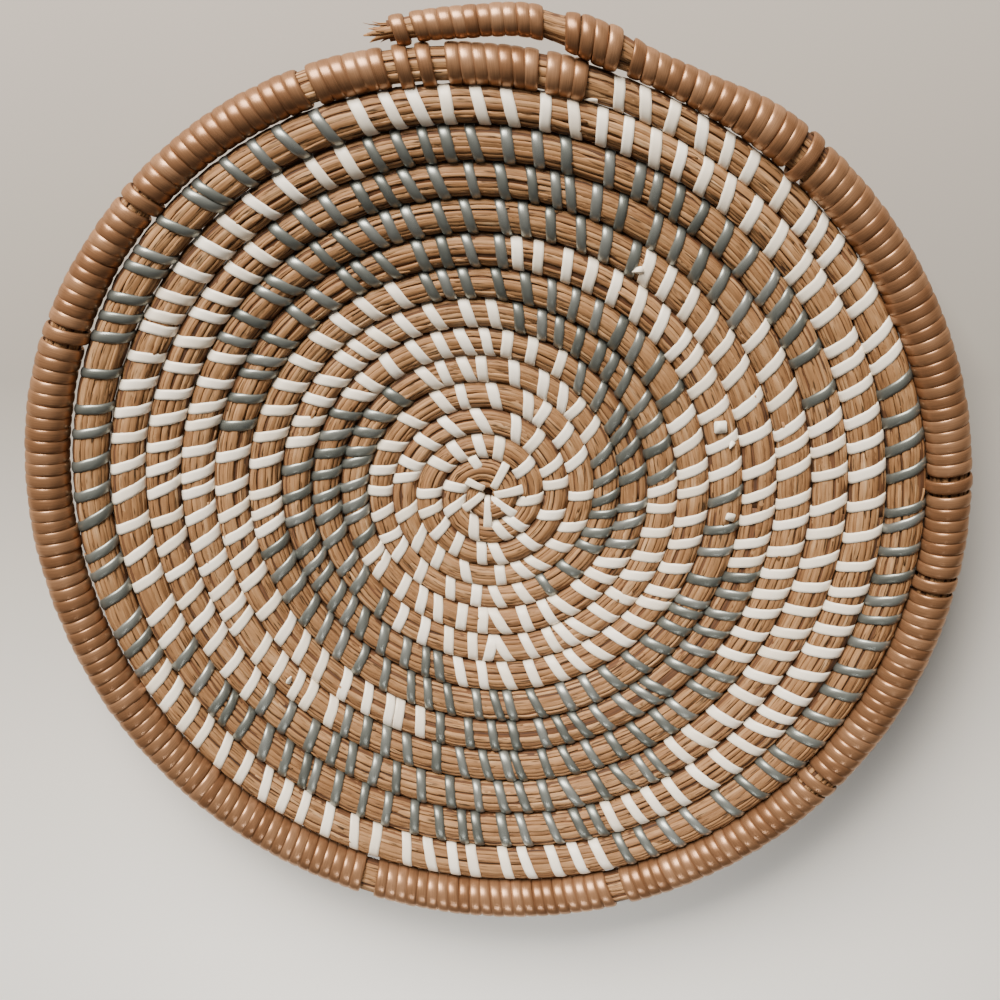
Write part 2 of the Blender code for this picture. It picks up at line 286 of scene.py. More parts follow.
# Stitches in order along the bundle: for each turn, runs of white strip or grey cord with the degrees
# at which they cross it. In the first turns each has its lean in millimetres as well.
WHITE, GREY = 0, 1
STITCHES = (
    ((WHITE, ((162.5, 1.1), (200, 2.5), (251, 2.5), (292.5, 1.9), (316, 1.4), (355, 1.5))),),
    ((WHITE, (
        (38, 0.5), (75.5, 0.9), (96.5, 0.8), (121.5, 0.7), (143.5, 1.5), (177, 0.6), (195.5, 1.5),
        (218, 1), (240.5, 0.6), (266, 0.8), (281, 1.7), (311.5, 1.5), (343.5, 1.7),
    )),),
    ((WHITE, (
        (10.5, 0.5), (25.5, 1.6), (50, 0.6), (67, 2.7), (93, 2.7), (115.5, 2), (136, 1), (155.5, 0.6),
        (166, 2.7), (193, 2.5), (215, 3), (234, 1.6), (256, 2), (279.5, -0.3), (295, 1.8), (306, 2.3),
        (324.5, 2), (340, 2.8),
    )),),
    ((WHITE, (
        (0.5, 0.8), (23, 2.5), (39.5, 1.5), (57, 0.6), (66, 3), (85.5, 1.8), (102.5, 0.5), (113.5, 2),
        (133, 2.5), (150.5, 2.6), (165, 1.5), (177, 0.3), (190, 1.5), (204, 0.5), (214, 2.8),
        (231, 1.8), (250, 1.5), (264.5, 0.2), (276, 1.8), (290, 1.5),
     )),
     (GREY, ((302.7, 1), (317.5, 1), (333, 1.5), (341.5, 2.5), (351.5, 2.3)))),
    ((GREY, (-0.5, 9.5, 20.5)),
     (WHITE, ((34, 2.4), (46, 0.6), (53.5, 3), (64, 2.6), (77.5, 1.9), (91.5, 0.3), (98, 1.8),
              (107.5, 0.8), (114, 2.8))),
     (GREY, (130, 141, 149.5, 158.5, 163.5, 174, 183, 188.5, 199)),
     (WHITE, ((208.5, 1.6), (215, 3), (229, 1), (239.5, 1.9), (248, 2.4), (259, 0.4), (268.5, 0.2),
              (276, 3.2), (287, 0.7), (297, 0.8), (304.5, 3), (316, 1.6), (324.5, 2.4), (332, 3.4))),
     (GREY, (341, 350, 357))),
    ((GREY, (9.5, 19.5, 27.5, 33, 43.5, 53.5)),
     (WHITE, ((62.5, 1), (73.5, 1.2), (82.5, 0.6), (89.5, 2), (97, 2), (105, 1.6), (113.5, 1.8),
              (124, 0.5), (133.5, 1.6), (139, 3.2))),
     (GREY, (147.5, 155.5, 162.5, 170.5, 178.5, 186, 195, 206.5, 214.5, 227)),
     (WHITE, ((236, 1.5), (246, 1.5), (256, 1.4), (265, 0.4), (271.5, -1.5), (276, 3.3), (285.5, 1.8),
              (294, 1), (299.5, 2.5), (305.5, 3.4), (314.5, 2.4), (323, 1.8), (332.5, 3), (340, 2.6),
              (349, 2.5), (357.5, 1.4)))),
    ((WHITE, (4,)),
     (GREY, (9, 18, 25.5, 33, 42, 48.5, 53.5, 61, 67.5, 73, 80)),
     (WHITE, (87.5, 95, 104.5, 113, 121, 127.5, 132.5, 140.5, 147.5, 154.5, 161)),
     (GREY, (169.5, 178, 185.5, 195, 201, 206.5, 214.5, 220.5, 226.5, 235, 243.5, 250.5, 255)),
     (WHITE, (262, 269, 276.5, 284.5, 292, 298.5, 305.5, 313, 320.5, 327.5, 332, 340, 348, 355))),
    ((WHITE, (3.5, 9.5, 17, 24)),
     (GREY, (31.5, 40, 47.5, 53.5, 60.5, 67, 73, 79.5, 86.5, 94.5, 99.5, 103.5)),
     (WHITE, (111.5, 119.5, 126.5, 133, 140.5, 147.5, 154.5, 161.5, 168.5, 177, 182, 186.5)),
     (GREY, (192.5, 199, 205.5, 213, 219.5, 226, 233, 241, 249, 254, 260, 267.7, 273, 276.5, 283.5,
             291.5, 298, 304.5, 312, 319, 325.5, 330.5, 333.5, 340, 348, 354))),
    ((GREY, (2,)),
     (WHITE, (8.7, 15.5, 23.5, 30.5, 36.5, 41, 47.5, 54, 60.5, 66.5, 72, 78.5, 83)),
     (GREY, (86.5, 93, 98.5, 103.5, 111, 116, 119.5, 126.5, 132.5, 139.7, 145, 148.5, 154.5, 161)),
     (WHITE, (168, 175.5, 181.5, 187, 192.5, 198.5, 206.5, 213.5, 219.5, 226, 233.5, 240, 246, 248.5,
              254)),
     (GREY, (259, 266, 271.7, 276.7, 283.3, 288, 292.3, 297.5, 304, 309, 312, 319.3, 324.5, 329.7,
             334.5, 339.7, 344)),
     (WHITE, (347.7, 352.2, 358))),
    ((WHITE, (3, 8.5, 16, 22.5, 29.5, 35.5, 41, 46.5, 52.5, 57.3)),
     (GREY, (60.5, 66.5, 71.5, 77.5, 82.5, 86.5, 93, 98, 103.5, 107.5, 111, 116, 121, 125.5, 130.5,
             133.5, 139.5, 144.5)),
     (WHITE, (148.5, 154, 159, 162.5, 168, 173, 176.5, 181.5, 187, 192.5, 198, 203, 206.5, 214, 219.5,
              225, 228.5, 234.5)),
     (GREY, (238.5, 243.3, 248, 253, 259.4, 265, 270, 274.5, 276.8, 282.5, 287.3, 292.2, 297.5, 303,
             308.3, 312.7, 318.8, 323.2)),
     (WHITE, (328.5, 333.5, 338.5, 342.8, 347.2, 352, 357.5))),
    ((WHITE, (2, 8, 12.5, 16, 22, 28, 34)),
     (GREY, (39.5, 45.5, 50.5, 55.5, 60, 66.5, 71, 75.5, 78, 82, 87, 92, 97.5, 102, 106, 110, 115.5,
             120, 124.5)),
     (WHITE, (129.5, 134, 139.5, 143.3, 148.5, 153.5, 158.5, 163, 168, 172, 176, 181.7, 186.5, 191.8,
              197.2, 202.2, 207.2, 212.8, 218.3)),
     (GREY, (222.5, 228, 234, 239, 243, 248, 252.5, 257.5, 263.2, 268.5, 273, 277, 281.2, 286, 291.5,
             296.2, 300.3, 303)),
     (WHITE, (307.5, 312, 317.7, 323.4, 328, 333, 337.5, 342, 346.6, 351.5, 356.7))),
    ((WHITE, (1.3, 7, 11.5, 15.5)),
     (GREY, (20.4, 27.5, 32, 36.5, 40, 45.5, 50.5, 55.5, 59.5, 63.3, 66.2, 71, 77.7, 82, 86.5, 91.4,
             95.3, 98.4, 102, 106)),
     (WHITE, (110, 114.5, 119.5, 124.5, 129.5, 134, 139, 143.5, 147, 149.2, 154, 158.5, 163, 167.3, 172,
              176.5, 182, 187, 192, 198, 202.2)),
     (GREY, (206.8, 212, 216.7, 219, 223, 228, 232.5, 236.5, 238.5, 243, 248, 252.5, 257.5, 262, 266,
             268.5, 273, 276.5, 281.5, 286, 289)),
     (WHITE, (291.5, 295.5, 299, 303, 308, 312.5, 317, 321, 324, 328, 332.5, 337, 341, 344.8, 347.7,
              352, 357))),
    ((WHITE, (2, 7, 11.5, 15.5, 20, 24, 27, 32, 36.5, 39.8, 45, 50, 54.5, 58.5, 62.5, 66.2, 70.3, 74,
              77.8, 81.8, 86.5, 90.5, 94.8, 98.5, 102, 106)),
     (GREY, (111, 116, 120, 124, 128.4, 130, 135, 140, 142.4, 147, 150, 153, 158.5, 163.8, 167.3, 172,
             176.5, 180.5, 185.6, 188.5, 193, 198, 201.5, 205)),
     (WHITE, (207.9, 211.4, 215.7, 219.2, 223.7, 228, 232.4, 236, 239.5, 243.9, 248.6, 252.2, 257.4,
              261.2, 264.9, 268, 273.1, 276.4, 280.7, 284.3, 287.8)),
     (GREY, (291.5, 295, 299, 303, 308.5, 313, 317, 320, 324, 328, 332.5, 336.5, 341, 345, 348, 351.5,
             355.5, 359.5))),
    ((GREY, (1.5, 6.8, 10.8, 14.6, 19)),
     (WHITE, (23, 26.3, 31.2, 35, 39.2, 42.2, 44.7, 49.2, 54.4, 58, 61.8, 66, 69.7, 73.2))),
)
STITCH_LEAN = 2.4 * MM
LEAN_CHANGE = 0.7 * MM
LEAN_BY_HAND = 0.7 * MM
hand = random.Random(7)
stitches = []
for whole_turn, runs in enumerate(STITCHES):
    for cord, crossings in runs:
        for crossing in crossings:
            if isinstance(crossing, tuple):
                degrees, lean = crossing[0], crossing[1] * MM
            else:
                degrees = crossing
                lean = STITCH_LEAN + LEAN_CHANGE * math.cos(math.radians(2 * degrees))
                lean += hand.uniform(-LEAN_BY_HAND, LEAN_BY_HAND)
            stitches.append((whole_turn + degrees / 360, cord, lean))
stitches.sort()
stitch_turns = np.array([turn for turn, _, _ in stitches])
stitch_leans = np.array([lean for _, _, lean in stitches])


def pinch(turn, angle):
    """How far the nearest stitch presses the bundle in."""
    run = math.tau * centre_radius(turn)
    near = np.searchsorted(stitch_turns, turn)
    reach = np.full(np.shape(turn), np.inf)
    for side in (near - 2, near - 1, near, near + 1):
        side = np.clip(side, 0, len(stitch_turns) - 1)
        ahead = (turn - stitch_turns[side]) * run - stitch_leans[side] * np.cos(angle)
        reach = np.minimum(reach, np.abs(ahead))
    return PINCH_DEPTH * np.exp(-((reach / PINCH_REACH) ** 2))


def section_point(turn, angle, raised, pressed=None, lowest=GROUND_CLEARANCE):
    """Points of the bundle's surface: round its section by angle, and raised off it."""
    turn, angle = np.broadcast_arrays(np.asarray(turn, float), np.asarray(angle, float))
    centre, across, up, _ = bundle_place(turn)
    pressed = pinch(turn, angle) if pressed is None else pressed
    wide = np.sign(np.cos(angle)) * np.abs(np.cos(angle)) ** (2 / BUNDLE_SQUARENESS)
    high = np.sign(np.sin(angle)) * np.abs(np.sin(angle)) ** (2 / BUNDLE_SQUARENESS)
    width = bundle_radius(turn) * BUNDLE_WIDTH_SHARE - pressed + raised
    height = half_height(turn) * BUNDLE_FLATNESS - pressed + raised
    points = centre + across * (wide * width)[..., None] + up * (high * height)[..., None]
    points[..., 2] = np.maximum(points[..., 2], lowest)
    return points


def tube_faces(rings, sides, closed=False):
    """Faces of a tube of rings, with flat ends, or joined end to end."""
    ring = np.arange(rings if closed else rings - 1)[:, None]
    side = np.arange(sides)[None, :]
    after = (side + 1) % sides
    onwards = (ring + 1) % rings
    quads = np.stack(
        [ring * sides + side, ring * sides + after, onwards * sides + after, onwards * sides + side], -1
    )
    faces = quads.reshape(-1, 4).tolist()
    if not closed:
        faces.append(list(range(sides))[::-1])
        faces.append(list(range((rings - 1) * sides, rings * sides)))
    return faces


def new_piece(name, points, faces, lay, material, slot="dried_grass"):
    """A smooth-shaded mesh piece that rides on the basket, with the lay of its blades or strips."""
    mesh = bpy.data.meshes.new(name)
    mesh.from_pydata(points.tolist(), [], faces)
    mesh.shade_smooth()
    layer = mesh.attributes.new("lay", "FLOAT_VECTOR", "POINT")
    layer.data.foreach_set("vector", np.asarray(lay, np.float32).ravel())
    mesh.materials.append(material)
    piece = bpy.data.objects.new(name, mesh)
    bpy.context.scene.collection.objects.link(piece)
    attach(piece, "root")
    return piece


def linear(hex_colour):
    """An sRGB hex colour as linear RGBA."""
    parts = [int(hex_colour[place : place + 2], 16) / 255 for place in (1, 3, 5)]
    return tuple(p / 12.92 if p <= 0.04045 else ((p + 0.055) / 1.055) ** 2.4 for p in parts) + (1.0,)


def add_node(tree, kind, settings=(), inputs=(), links=(), stops=()):
    """Adds a node, sets its properties and sockets, and links sockets to other nodes' outputs.

    The stops of a colour ramp are places, each with a hex colour or a plain value."""
    node = tree.nodes.new(kind)
    for label, value in dict(settings).items():
        setattr(node, label, value)
    for label, value in dict(inputs).items():
        node.inputs[label].default_value = value
    for label, output in dict(links).items():
        tree.links.new(output, node.inputs[label])
    marks = node.color_ramp.elements if stops else ()
    while len(marks) < len(stops):
        marks.new(0.5)
    for mark, (place, colour) in zip(marks, stops):
        mark.position = place
        mark.color = linear(colour) if isinstance(colour, str) else (colour,) * 3 + (1,)
    return node


def new_material(name):
    material = bpy.data.materials.new(name)
    material.use_nodes = True
    return material, material.node_tree, material.node_tree.nodes["Principled BSDF"]


# Patterns along, across and from blade to blade, in repeats per millimetre. Real fibres are about
# 0.2 mm wide and wouldn't show, so they are drawn 0.6 mm wide and 20 mm long. Splits are 0.9 mm
# wide and 9 mm long, and blotches 3 mm wide and 12 mm long.
FIBRES_PER_MM = (0.05, 1.7, 1.0)
SPLITS_PER_MM = (0.11, 1.15, 1.7)
BLOTCHES_PER_MM = (0.08, 0.3, 1.0)

grass, grass_tree, grass_surface = new_material("dried sweetgrass")
grass_lay = add_node(grass_tree, "ShaderNodeAttribute", {"attribute_name": "lay"})
grass_parts = add_node(grass_tree, "ShaderNodeSeparateXYZ", links={"Vector": grass_lay.outputs["Vector"]})
grass_noises = []
for repeats, detail, roughness in (
    (FIBRES_PER_MM, 3.0, 0.6), (SPLITS_PER_MM, 1.5, 0.5), (BLOTCHES_PER_MM, 2.0, 0.5),
):
    noise_place = add_node(
        grass_tree, "ShaderNodeVectorMath", {"operation": "MULTIPLY"}, {1: repeats},
        {0: grass_lay.outputs["Vector"]},
    )
    grass_noises.append(add_node(
        grass_tree, "ShaderNodeTexNoise", inputs={"Scale": 1.0, "Detail": detail, "Roughness": roughness},
        links={"Vector": noise_place.outputs[0]},
    ).outputs["Fac"])
fibre, split, blotch = grass_noises
split_dark = add_node(
    grass_tree, "ShaderNodeValToRGB", links={"Fac": split}, stops=((0.31, 0.22), (0.385, 1.0)),
)
blade_tone = add_node(
    grass_tree, "ShaderNodeTexWhiteNoise", {"noise_dimensions": "1D"},
    links={"W": grass_parts.outputs["Z"]},
)
blotch_tone = add_node(
    grass_tree, "ShaderNodeMath", {"operation": "MULTIPLY_ADD"}, {1: 1.0, 2: -0.25}, {0: blotch},
)
tone = add_node(
    grass_tree, "ShaderNodeMath", {"operation": "MULTIPLY_ADD"}, {1: 0.5},
    {0: blade_tone.outputs["Value"], 2: blotch_tone.outputs[0]},
)
grass_colour = add_node(
    grass_tree, "ShaderNodeValToRGB", links={"Fac": tone.outputs[0]}, stops=(
        (0.0, "#66452A"), (0.3, "#87613F"), (0.6, "#9D754F"), (0.85, "#B28C65"), (1.0, "#CAA983"),
    ),
)
fibre_light = add_node(
    grass_tree, "ShaderNodeValToRGB", links={"Fac": fibre}, stops=((0.3, 0.66), (0.7, 1.12)),
)
tinted = add_node(
    grass_tree, "ShaderNodeMix", {"data_type": "RGBA", "blend_type": "MULTIPLY"}, {0: 1.0},
    {6: grass_colour.outputs["Color"], 7: fibre_light.outputs["Color"]},
)
darkened = add_node(
    grass_tree, "ShaderNodeMix", {"data_type": "RGBA", "blend_type": "MULTIPLY"}, {0: 1.0},
    {6: tinted.outputs[2], 7: split_dark.outputs["Color"]},
)
grass_tree.links.new(darkened.outputs[2], grass_surface.inputs["Base Color"])
relief = add_node(
    grass_tree, "ShaderNodeMath", {"operation": "MULTIPLY_ADD"}, {1: 0.6},
    {0: split_dark.outputs["Color"], 2: fibre},
)
grass_bump = add_node(
    grass_tree, "ShaderNodeBump", inputs={"Strength": 0.55, "Distance": 0.35 * MM},
    links={"Height": relief.outputs[0]},
)
grass_tree.links.new(grass_bump.outputs["Normal"], grass_surface.inputs["Normal"])
# Dry plant fibre: its own IOR, rough and weakly reflecting, which gives a dull straw face with only a
# faint silky light along the blades
grass_surface.inputs["Roughness"].default_value = 0.62
grass_surface.inputs["IOR"].default_value = 1.45
grass_surface.inputs["Specular IOR Level"].default_value = 0.3

# The same grass inside the bundle, coloured dark as painted shade and fully matt, so the gaps between
# blades look deep
core, core_tree, core_surface = new_material("dried sweetgrass in shade")
core_surface.inputs["Roughness"].default_value = 0.8
core_lay = add_node(core_tree, "ShaderNodeAttribute", {"attribute_name": "lay"})
core_place = add_node(
    core_tree, "ShaderNodeVectorMath", {"operation": "MULTIPLY"}, {1: (0.05, 1.4, 1.0)},
    {0: core_lay.outputs["Vector"]},
)
core_noise = add_node(
    core_tree, "ShaderNodeTexNoise", inputs={"Scale": 1.0, "Detail": 2.0},
    links={"Vector": core_place.outputs[0]},
)
# Painted shade: the inner grass is coloured dark brown to near black
core_painted_shade = add_node(
    core_tree, "ShaderNodeValToRGB", links={"Fac": core_noise.outputs["Fac"]},
    stops=((0.3, "#2A170A"), (0.7, "#6E4626")),
)
core_tree.links.new(core_painted_shade.outputs["Color"], core_surface.inputs["Base Color"])


def samples(start, end, step):
    """Turns from start to end, about a step apart along the bundle."""
    length = math.tau * float(centre_radius((start + end) / 2)) * (end - start)
    return np.linspace(start, end, max(3, round(length / step) + 1))


def lay_marks(along, across, number):
    """For each point, the millimetres along and across its own strip or blade, and that one's number."""
    return np.stack(np.broadcast_arrays(along, across, float(number)), -1).reshape(-1, 3)


def turn_core(start, end):
    """The inside of the bundle from one turn to another."""
    turns = samples(start, end, CORE_STEP)
    angles = np.arange(CORE_SIDES) * math.tau / CORE_SIDES
    grid_turn, grid_angle = np.meshgrid(turns, angles, indexing="ij")
    raised = CORE_SWELL * np.cos(grid_angle) ** 2 - CORE_SINK * np.sin(grid_angle) ** 2
    points = section_point(grid_turn, grid_angle, raised, lowest=CORE_CLEARANCE)
    lay = lay_marks(grid_turn * CORE_PATTERN_PER_TURN, grid_angle * CORE_PATTERN_ROUND, 0)
    return points.reshape(-1, 3), tube_faces(len(turns), CORE_SIDES), lay


def start_stub():
    """The bundle's cut start, turned down into the middle hole. It takes the core's dark colour, which is
    painted shade that makes the hole look dark.
    """
    angles = np.arange(START_STUB_SIDES) * math.tau / START_STUB_SIDES
    round_x, round_y = np.cos(angles) * START_STUB_RADIUS, np.sin(angles) * START_STUB_RADIUS
    levels = (GROUND_CLEARANCE, START_STUB_TOP / 2, START_STUB_TOP)
    rings = [np.stack([round_x, round_y, np.full_like(angles, level)], -1) for level in levels]
    points = np.concatenate(rings) + (*SPIRAL_CENTRE, 0)
    return points, tube_faces(len(rings), START_STUB_SIDES), points / MM


def blade_ribbon(turns, angle, half_width, raised, tip_drop, seed):
    """One flat blade along the bundle, its edges and ends sunk into it."""
    share = np.linspace(0, 1, len(turns))
    end = np.minimum(share, 1 - share) * len(turns) * BLADE_STEP
    tip = 1 - smooth_share(end / BLADE_TIP)
    width = half_width * (1 - TIP_NARROWING * tip)
    lift = raised - tip_drop * tip
    across = np.array([place for place, _ in BLADE_SECTION])
    height = np.array([rise for _, rise in BLADE_SECTION]) * MM
    grid_angle = angle[:, None] + across * (width / bundle_radius(turns))[:, None]
    grid_turn = np.repeat(turns[:, None], len(across), 1)
    points = section_point(grid_turn, grid_angle, lift[:, None] + height)
    along = np.concatenate([[0], np.cumsum(np.linalg.norm(np.diff(points[:, 2], axis=0), axis=1))])
    lay = lay_marks(
        along[:, None] / MM + seed * PATTERN_SHIFT[0],
        across * PATTERN_SPREAD * (half_width / MM) + seed * PATTERN_SHIFT[1], seed,
    )
    return points.reshape(-1, 3), tube_faces(len(turns), len(across)), lay


def join(parts):
    """Several point and face lists as one."""
    points, faces, lays, first = [], [], [], 0
    for part_points, part_faces, part_lay in parts:
        points.append(part_points)
        lays.append(part_lay)
        faces += [[index + first for index in face] for face in part_faces]
        first += len(part_points)
    return np.concatenate(points), faces, np.concatenate(lays)


def blade_turns(place, length):
    """The change of turn for a length of blade, taken a little further on at the very start."""
    return float(turns_ahead(max(place, BLADE_TURNS_FROM), length))


blade_draw = random.Random(11)
blade_number = 0
turn_starts = [-1.0, 1.0] + [float(turn) for turn in range(2, 15)] + [CUT_TURN]
for piece_number, (start, end) in enumerate(zip(turn_starts, turn_starts[1:]), 1):
    tubes = [turn_core(start, end)]
    if piece_number == 1:
        # The stub shares the core's painted shade, so the middle hole looks dark
        tubes.append(start_stub())
    piece = new_piece(f"grass_core_turn_{piece_number:02d}", *join(tubes), core)
    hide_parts("grass_coil")
    around = math.tau * float(bundle_radius((start + end) / 2)) * BLADES_ROUND_SHARE
    strands = max(FEWEST_BLADES, round(around / BLADE_SPACING))
    parts = []
    for strand in range(strands):
        place = start
        if piece_number > 1:
            place += float(turns_ahead(start, blade_draw.uniform(*BLADE_STAGGER)))
        uneven = blade_draw.uniform(-BLADE_UNEVENNESS, BLADE_UNEVENNESS)
        base_angle = math.tau * (strand + uneven) / strands
        while place < end:
            stop = min(place + blade_turns(place, blade_draw.uniform(*BLADE_LENGTHS)), CUT_TURN)
            if stop - place > blade_turns(place, SHORTEST_BLADE):
                turns = samples(place, stop, BLADE_STEP)
                share = np.linspace(0, 1, len(turns))
                phase = blade_draw.uniform(0, math.tau)
                angle = base_angle + blade_draw.uniform(-BLADE_DRIFT, BLADE_DRIFT) * (share - 0.5)
                weave = np.sin(share * BLADE_WEAVES + phase)
                angle = angle + blade_draw.uniform(-BLADE_WEAVE, BLADE_WEAVE) * weave
                blade_number += 1
                half_width = BLADE_SPACING / 2 * blade_draw.uniform(*BLADE_HALF_WIDTH_SHARES)
                raised = blade_draw.uniform(*BLADE_RISE)
                drop = SUNK_TIP if blade_draw.random() < SUNK_TIPS_SHARE else LIFTED_TIP
                parts.append(blade_ribbon(turns, angle, half_width, raised, drop, blade_number))
            place = stop - blade_turns(place, BLADE_OVERLAP)
            base_angle += blade_draw.uniform(-BLADE_CREEP, BLADE_CREEP)
            if stop >= CUT_TURN:
                break
    piece = new_piece(f"grass_blades_turn_{piece_number:02d}", *join(parts), grass)
    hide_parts("grass_coil")


# WHITE STRIP STITCHES
# Flat polypropylene packing strip, a few millimetres wide and half a millimetre thick, pulled tight
# round the new turn and through the edge of the turn inside it. Extruded strip gives a satin face.
STRIP_WIDTH = 4.6 * MM
STRIP_THICKNESS = 0.6 * MM
STITCH_SEGMENTS = 36
STITCH_LIFT = 0.15 * MM
STITCH_BITE = 0.5 * MM
STITCH_TWIST = 0.35 * MM
SIDE_SINK = 0.6 * MM
STRIP_CLEARANCE = 0.05 * MM
STRIP_HEM = 0.3 * MM
STRIP_TOP = (-0.12, 0.35)
STRIP_WIDTH_SHARES = (0.92, 1.05)
STRIP_SECTION = (
    (-1.0, 0.0), (-0.93, 0.75), (-0.5, 0.95), (0.0, 1.0), (0.5, 0.95), (0.93, 0.75), (1.0, 0.0),
    (0.0, -0.25),
)


def stitch_loop(turn, lean, section, width, thickness, draw):
    """One stitch: a closed loop of strip round the bundle, leaning along it, drawn in at its inner side."""
    angles = np.arange(STITCH_SEGMENTS) * math.tau / STITCH_SEGMENTS
    twist = draw.uniform(-STITCH_TWIST, STITCH_TWIST)
    ahead = lean * np.cos(angles) + twist * np.sin(2 * angles)
    # On top the strip lies free, and at the sides and below it sinks into the grass
    over = eased(np.sin(angles), *STRIP_TOP)
    across = np.array([place for place, _ in section]) * width / 2
    height = np.array([rise for _, rise in section]) * thickness
    # The strip's width lies square to its leaning path, and is the same at the turn's inner side
    radius = float(bundle_radius(turn))
    tilt = np.arctan(-lean * np.sin(angles) / radius)
    run = math.tau * (float(centre_radius(turn)) + radius * np.cos(angles))[:, None]
    grid_turn = turn + (ahead[:, None] + across * np.cos(tilt)[:, None]) / run
    grid_angle = angles[:, None] - across * np.sin(tilt)[:, None] / radius
    raised = (STITCH_LIFT * over - SIDE_SINK * (1 - over))[:, None] + height
    lowest = STRIP_CLEARANCE + np.where(height < 0, STRIP_HEM, 0.0) + np.zeros_like(grid_turn)
    points = section_point(grid_turn, grid_angle, raised, PINCH_DEPTH, lowest)
    inward = (STITCH_BITE * np.clip(-np.cos(angles), 0, 1) ** 2 * over)[:, None]
    around = math.tau * grid_turn
    points[..., 0] -= np.cos(around) * inward
    points[..., 1] -= np.sin(around) * inward
    lay = lay_marks(angles[:, None] * radius / MM, across / MM, draw.randrange(1, 9999))
    return points.reshape(-1, 3), tube_faces(STITCH_SEGMENTS, len(section), closed=True), lay


# The first strips lie from the middle hole over the start of the bundle: each has its inner and outer
# end from the spiral's centre, and its width at either
START_STRIPS = (
    ((3.4, 0.3), (16.3, 3.3), 3.4, 4.5), ((3.0, 3.3), (8.8, 14.8), 3.4, 3.9),
    ((-0.9, 3.4), (-9.5, 7.6), 2.6, 3.9), ((-1.7, 0.6), (-9.9, -6.2), 3.2, 4.1),
    ((0.5, -1.2), (0.8, -15.2), 2.4, 4.3), ((2.9, -1.2), (12.8, -8.8), 3.0, 4.1),
    ((-2.4, 12.0), (-6.3, 17.9), 4.2, 4.3),
)
START_TOP = 8.3 * MM
START_BOTTOM = 0.9 * MM
START_LIFT = 0.2 * MM
START_SQUARENESS = 2.8


def start_loop(inner, outer, inner_width, outer_width, section, thickness, draw):
    """One strip of the start: a closed loop from the hole over the first coils."""
    inner, outer = np.array(inner) * MM, np.array(outer) * MM
    reach = np.linalg.norm(outer - inner) / 2
    ahead = (outer - inner) / (2 * reach)
    side = np.array([-ahead[1], ahead[0]])
    angles = np.arange(STITCH_SEGMENTS) * math.tau / STITCH_SEGMENTS
    power = 2 / START_SQUARENESS
    flat = np.sign(np.cos(angles)) * np.abs(np.cos(angles)) ** power
    upright = np.sign(np.sin(angles)) * np.abs(np.sin(angles)) ** power
    across = np.array([place for place, _ in section])
    height = np.array([rise for _, rise in section]) * thickness
    width = (inner_width + (outer_width - inner_width) * (flat + 1) / 2) * MM / 2
    along = flat[:, None] * (reach + height)
    middle_height = START_TOP / 2 + START_LIFT
    level = middle_height + upright[:, None] * (middle_height - START_BOTTOM + height)
    place = (inner + outer) / 2 + along[..., None] * ahead + (width[:, None] * across)[..., None] * side
    points = np.concatenate([place + SPIRAL_CENTRE, level[..., None]], -1)
    lay = lay_marks(angles[:, None] * reach / MM, width[:, None] * across / MM, draw.randrange(1, 9999))
    return points.reshape(-1, 3), tube_faces(STITCH_SEGMENTS, len(section), closed=True), lay


def strip_material(name, tones, streaks_per_mm, bump_strength, bump_depth, streak_stops=()):
    """Drawn plastic: each stitch or wrap has its own tone, and fine streaks run along it."""
    material, tree, surface = new_material(name)
    lay = add_node(tree, "ShaderNodeAttribute", {"attribute_name": "lay"})
    parts = add_node(tree, "ShaderNodeSeparateXYZ", links={"Vector": lay.outputs["Vector"]})
    own_tone = add_node(
        tree, "ShaderNodeTexWhiteNoise", {"noise_dimensions": "1D"}, links={"W": parts.outputs["Z"]},
    )
    colour = add_node(
        tree, "ShaderNodeValToRGB", links={"Fac": own_tone.outputs["Value"]}, stops=tones,
    ).outputs["Color"]
    streak_place = add_node(
        tree, "ShaderNodeVectorMath", {"operation": "MULTIPLY"}, {1: streaks_per_mm},
        {0: lay.outputs["Vector"]},
    )
    streak = add_node(
        tree, "ShaderNodeTexNoise", inputs={"Scale": 1.0, "Detail": 2.0},
        links={"Vector": streak_place.outputs[0]},
    )
    if streak_stops:
        streak_light = add_node(
            tree, "ShaderNodeValToRGB", links={"Fac": streak.outputs["Fac"]}, stops=streak_stops,
        )
        colour = add_node(
            tree, "ShaderNodeMix", {"data_type": "RGBA", "blend_type": "MULTIPLY"}, {0: 1.0},
            {6: colour, 7: streak_light.outputs["Color"]},
        ).outputs[2]
    tree.links.new(colour, surface.inputs["Base Color"])
    bump = add_node(
        tree, "ShaderNodeBump", inputs={"Strength": bump_strength, "Distance": bump_depth},
        links={"Height": streak.outputs["Fac"]},
    )
    tree.links.new(bump.outputs["Normal"], surface.inputs["Normal"])
    return material, surface


# Extruded polypropylene: its own IOR and a fine-grained face, which give a broad satin light without a
# sharp edge, and a little light passes below the face, so the strip looks milky. The lines drawn by
# the die are finer than a tenth of a millimetre, and are made 0.3 mm wide and 7 mm long to show.
white, white_surface = strip_material(
    "white polypropylene strip", ((0.0, "#E6DAC7"), (0.5, "#EFE5D4"), (1.0, "#F6EEE0")),
    streaks_per_mm=(0.15, 3.0, 1.0), bump_strength=0.25, bump_depth=0.1 * MM,
)
white_surface.inputs["Roughness"].default_value = 0.42
white_surface.inputs["IOR"].default_value = 1.49
white_surface.inputs["Subsurface Weight"].default_value = 0.1
white_surface.inputs["Subsurface Radius"].default_value = (1.0, 0.9, 0.8)
white_surface.inputs["Subsurface Scale"].default_value = 0.6 * MM


